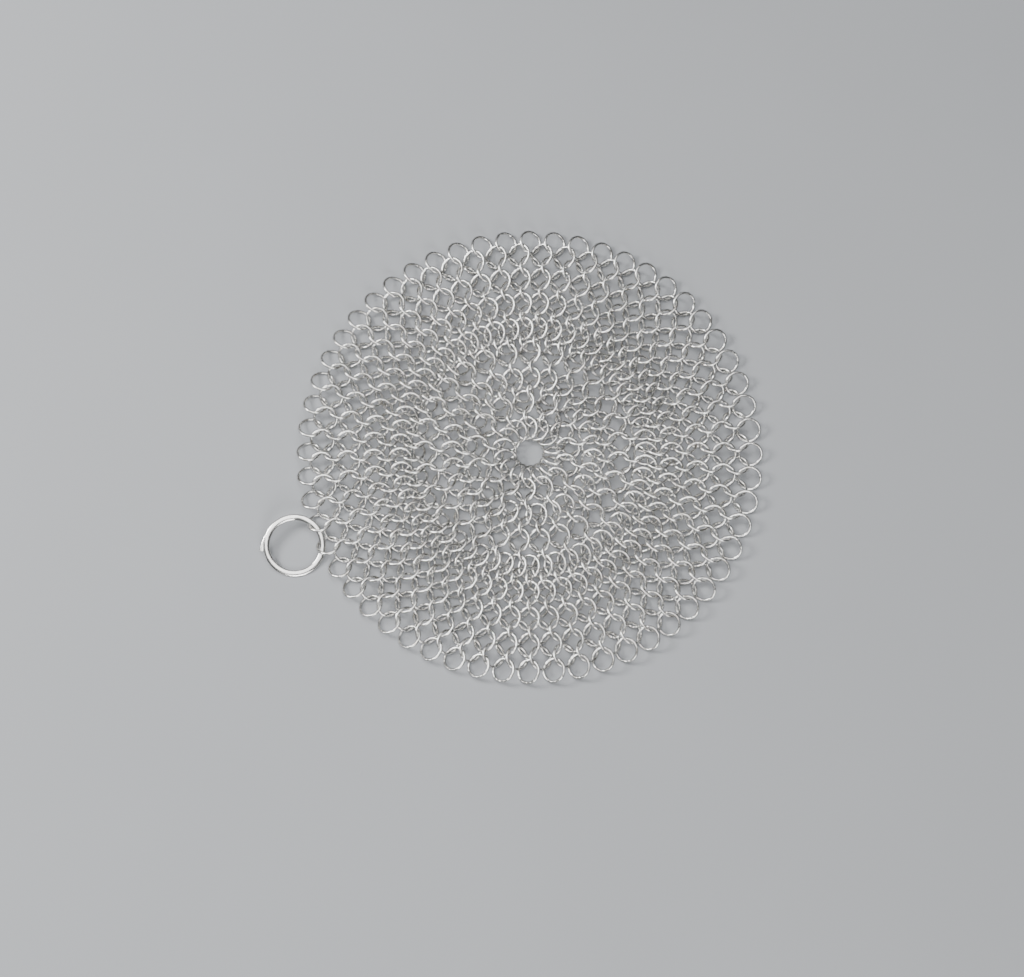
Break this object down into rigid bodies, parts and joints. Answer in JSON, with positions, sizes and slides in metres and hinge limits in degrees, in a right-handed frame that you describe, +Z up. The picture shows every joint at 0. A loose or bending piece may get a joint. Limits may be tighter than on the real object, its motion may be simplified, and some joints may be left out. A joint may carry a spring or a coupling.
{
  "type": "chainmail scrubber",
  "caption": "Flat round chainmail scrubber of interlinked welded steel rings in concentric rows, with a split ring at the rim to hang it by.",
  "frame": {"origin": "middle of the disc, on the surface that it lies on", "axes": "+Z up out of the disc, -X towards the split ring, +Y completes the frame"},
  "size_m": [0.1924, 0.1728, 0.006],
  "materials": {
    "ring_steel": "bright tumbled stainless steel wire",
    "split_ring_steel": "plated spring steel, flattened wire"
  },
  "bodies": {
    "back_strip_01": {"back_strip_01_core_rings": "ring_steel", "back_strip_01_left_leaning_rings": "ring_steel", "back_strip_01_right_leaning_rings": "ring_steel"},
    "back_strip_02": {"back_strip_02_left_leaning_rings": "ring_steel", "back_strip_02_right_leaning_rings": "ring_steel"},
    "back_strip_03": {"back_strip_03_left_leaning_rings": "ring_steel", "back_strip_03_right_leaning_rings": "ring_steel"},
    "back_strip_04": {"back_strip_04_left_leaning_rings": "ring_steel", "back_strip_04_right_leaning_rings": "ring_steel"},
    "back_strip_05": {"back_strip_05_left_leaning_rings": "ring_steel", "back_strip_05_right_leaning_rings": "ring_steel"},
    "back_strip_06": {"back_strip_06_left_leaning_rings": "ring_steel", "back_strip_06_right_leaning_rings": "ring_steel"},
    "back_strip_07": {"back_strip_07_left_leaning_rings": "ring_steel", "back_strip_07_right_leaning_rings": "ring_steel"},
    "back_strip_08": {"back_strip_08_left_leaning_rings": "ring_steel", "back_strip_08_right_leaning_rings": "ring_steel"},
    "back_strip_09": {"back_strip_09_left_leaning_rings": "ring_steel", "back_strip_09_right_leaning_rings": "ring_steel"},
    "back_strip_10": {"back_strip_10_left_leaning_rings": "ring_steel", "back_strip_10_right_leaning_rings": "ring_steel"},
    "back_strip_11": {"back_strip_11_left_leaning_rings": "ring_steel", "back_strip_11_right_leaning_rings": "ring_steel"},
    "back_strip_12": {"back_strip_12_left_leaning_rings": "ring_steel", "back_strip_12_right_leaning_rings": "ring_steel"},
    "front_strip_01": {"front_strip_01_core_rings": "ring_steel", "front_strip_01_left_leaning_rings": "ring_steel", "front_strip_01_right_leaning_rings": "ring_steel"},
    "front_strip_02": {"front_strip_02_left_leaning_rings": "ring_steel", "front_strip_02_right_leaning_rings": "ring_steel"},
    "front_strip_03": {"front_strip_03_left_leaning_rings": "ring_steel", "front_strip_03_right_leaning_rings": "ring_steel"},
    "front_strip_04": {"front_strip_04_left_leaning_rings": "ring_steel", "front_strip_04_right_leaning_rings": "ring_steel"},
    "front_strip_05": {"front_strip_05_left_leaning_rings": "ring_steel", "front_strip_05_right_leaning_rings": "ring_steel"},
    "front_strip_06": {"front_strip_06_left_leaning_rings": "ring_steel", "front_strip_06_right_leaning_rings": "ring_steel"},
    "front_strip_07": {"front_strip_07_left_leaning_rings": "ring_steel", "front_strip_07_right_leaning_rings": "ring_steel"},
    "front_strip_08": {"front_strip_08_left_leaning_rings": "ring_steel", "front_strip_08_right_leaning_rings": "ring_steel"},
    "front_strip_09": {"front_strip_09_left_leaning_rings": "ring_steel", "front_strip_09_right_leaning_rings": "ring_steel"},
    "front_strip_10": {"front_strip_10_left_leaning_rings": "ring_steel", "front_strip_10_right_leaning_rings": "ring_steel"},
    "front_strip_11": {"front_strip_11_left_leaning_rings": "ring_steel", "front_strip_11_right_leaning_rings": "ring_steel"},
    "front_strip_12": {"front_strip_12_left_leaning_rings": "ring_steel", "front_strip_12_right_leaning_rings": "ring_steel"},
    "middle_strip": {"hanger_link_rings": "ring_steel", "middle_strip_core_rings": "ring_steel", "middle_strip_left_leaning_rings": "ring_steel", "middle_strip_right_leaning_rings": "ring_steel"},
    "split_ring": {"split_ring": "split_ring_steel"}
  },
  "joints": [
    {"name": "back_roll", "type": "hinge", "parent": "middle_strip", "child": "back_strip_01", "pos_m": [0, 0.00534, 0.00279], "axis": [1, 0, 0], "range_deg": [0, 5]},
    {"name": "back_fold_02", "type": "hinge", "parent": "back_strip_01", "child": "back_strip_02", "pos_m": [0, 0.01188, 0.00279], "axis": [1, 0, 0], "range_deg": [0, 5]},
    {"name": "back_fold_03", "type": "hinge", "parent": "back_strip_02", "child": "back_strip_03", "pos_m": [0, 0.01843, 0.00279], "axis": [1, 0, 0], "range_deg": [0, 5]},
    {"name": "back_fold_04", "type": "hinge", "parent": "back_strip_03", "child": "back_strip_04", "pos_m": [0, 0.02498, 0.00279], "axis": [1, 0, 0], "range_deg": [0, 5]},
    {"name": "back_fold_05", "type": "hinge", "parent": "back_strip_04", "child": "back_strip_05", "pos_m": [0, 0.03152, 0.00279], "axis": [1, 0, 0], "range_deg": [0, 5]},
    {"name": "back_fold_06", "type": "hinge", "parent": "back_strip_05", "child": "back_strip_06", "pos_m": [0, 0.03807, 0.00279], "axis": [1, 0, 0], "range_deg": [0, 5]},
    {"name": "back_fold_07", "type": "hinge", "parent": "back_strip_06", "child": "back_strip_07", "pos_m": [0, 0.04462, 0.00279], "axis": [1, 0, 0], "range_deg": [0, 5]},
    {"name": "back_fold_08", "type": "hinge", "parent": "back_strip_07", "child": "back_strip_08", "pos_m": [0, 0.05117, 0.00279], "axis": [1, 0, 0], "range_deg": [0, 5]},
    {"name": "back_fold_09", "type": "hinge", "parent": "back_strip_08", "child": "back_strip_09", "pos_m": [0, 0.05772, 0.00279], "axis": [1, 0, 0], "range_deg": [0, 5]},
    {"name": "back_fold_10", "type": "hinge", "parent": "back_strip_09", "child": "back_strip_10", "pos_m": [0, 0.06426, 0.00279], "axis": [1, 0, 0], "range_deg": [0, 5]},
    {"name": "back_fold_11", "type": "hinge", "parent": "back_strip_10", "child": "back_strip_11", "pos_m": [0, 0.07081, 0.00279], "axis": [1, 0, 0], "range_deg": [0, 5]},
    {"name": "back_fold_12", "type": "hinge", "parent": "back_strip_11", "child": "back_strip_12", "pos_m": [0, 0.07736, 0.00279], "axis": [1, 0, 0], "range_deg": [0, 5]},
    {"name": "front_roll", "type": "hinge", "parent": "middle_strip", "child": "front_strip_01", "pos_m": [0, -0.00534, 0.00279], "axis": [-1, 0, 0], "range_deg": [0, 5]},
    {"name": "front_fold_02", "type": "hinge", "parent": "front_strip_01", "child": "front_strip_02", "pos_m": [0, -0.01188, 0.00279], "axis": [-1, 0, 0], "range_deg": [0, 5]},
    {"name": "front_fold_03", "type": "hinge", "parent": "front_strip_02", "child": "front_strip_03", "pos_m": [0, -0.01843, 0.00279], "axis": [-1, 0, 0], "range_deg": [0, 5]},
    {"name": "front_fold_04", "type": "hinge", "parent": "front_strip_03", "child": "front_strip_04", "pos_m": [0, -0.02498, 0.00279], "axis": [-1, 0, 0], "range_deg": [0, 5]},
    {"name": "front_fold_05", "type": "hinge", "parent": "front_strip_04", "child": "front_strip_05", "pos_m": [0, -0.03152, 0.00279], "axis": [-1, 0, 0], "range_deg": [0, 5]},
    {"name": "front_fold_06", "type": "hinge", "parent": "front_strip_05", "child": "front_strip_06", "pos_m": [0, -0.03807, 0.00279], "axis": [-1, 0, 0], "range_deg": [0, 5]},
    {"name": "front_fold_07", "type": "hinge", "parent": "front_strip_06", "child": "front_strip_07", "pos_m": [0, -0.04462, 0.00279], "axis": [-1, 0, 0], "range_deg": [0, 5]},
    {"name": "front_fold_08", "type": "hinge", "parent": "front_strip_07", "child": "front_strip_08", "pos_m": [0, -0.05117, 0.00279], "axis": [-1, 0, 0], "range_deg": [0, 5]},
    {"name": "front_fold_09", "type": "hinge", "parent": "front_strip_08", "child": "front_strip_09", "pos_m": [0, -0.05772, 0.00279], "axis": [-1, 0, 0], "range_deg": [0, 5]},
    {"name": "front_fold_10", "type": "hinge", "parent": "front_strip_09", "child": "front_strip_10", "pos_m": [0, -0.06426, 0.00279], "axis": [-1, 0, 0], "range_deg": [0, 5]},
    {"name": "front_fold_11", "type": "hinge", "parent": "front_strip_10", "child": "front_strip_11", "pos_m": [0, -0.07081, 0.00279], "axis": [-1, 0, 0], "range_deg": [0, 5]},
    {"name": "front_fold_12", "type": "hinge", "parent": "front_strip_11", "child": "front_strip_12", "pos_m": [0, -0.07736, 0.00279], "axis": [-1, 0, 0], "range_deg": [0, 5]},
    {"name": "hanger_swing", "type": "hinge", "parent": "middle_strip", "child": "split_ring", "pos_m": [-0.08402, 0, 0.00326], "axis": [0, 0.9724, 0.2334], "range_deg": [0, 45]}
  ],
  "couplings": [
    {"joint": "back_fold_02", "follows": "back_roll", "ratio": 1},
    {"joint": "back_fold_03", "follows": "back_roll", "ratio": 1},
    {"joint": "back_fold_04", "follows": "back_roll", "ratio": 1},
    {"joint": "back_fold_05", "follows": "back_roll", "ratio": 1},
    {"joint": "back_fold_06", "follows": "back_roll", "ratio": 1},
    {"joint": "back_fold_07", "follows": "back_roll", "ratio": 1},
    {"joint": "back_fold_08", "follows": "back_roll", "ratio": 1},
    {"joint": "back_fold_09", "follows": "back_roll", "ratio": 1},
    {"joint": "back_fold_10", "follows": "back_roll", "ratio": 1},
    {"joint": "back_fold_11", "follows": "back_roll", "ratio": 1},
    {"joint": "back_fold_12", "follows": "back_roll", "ratio": 1},
    {"joint": "front_fold_02", "follows": "front_roll", "ratio": 1},
    {"joint": "front_fold_03", "follows": "front_roll", "ratio": 1},
    {"joint": "front_fold_04", "follows": "front_roll", "ratio": 1},
    {"joint": "front_fold_05", "follows": "front_roll", "ratio": 1},
    {"joint": "front_fold_06", "follows": "front_roll", "ratio": 1},
    {"joint": "front_fold_07", "follows": "front_roll", "ratio": 1},
    {"joint": "front_fold_08", "follows": "front_roll", "ratio": 1},
    {"joint": "front_fold_09", "follows": "front_roll", "ratio": 1},
    {"joint": "front_fold_10", "follows": "front_roll", "ratio": 1},
    {"joint": "front_fold_11", "follows": "front_roll", "ratio": 1},
    {"joint": "front_fold_12", "follows": "front_roll", "ratio": 1}
  ]
}
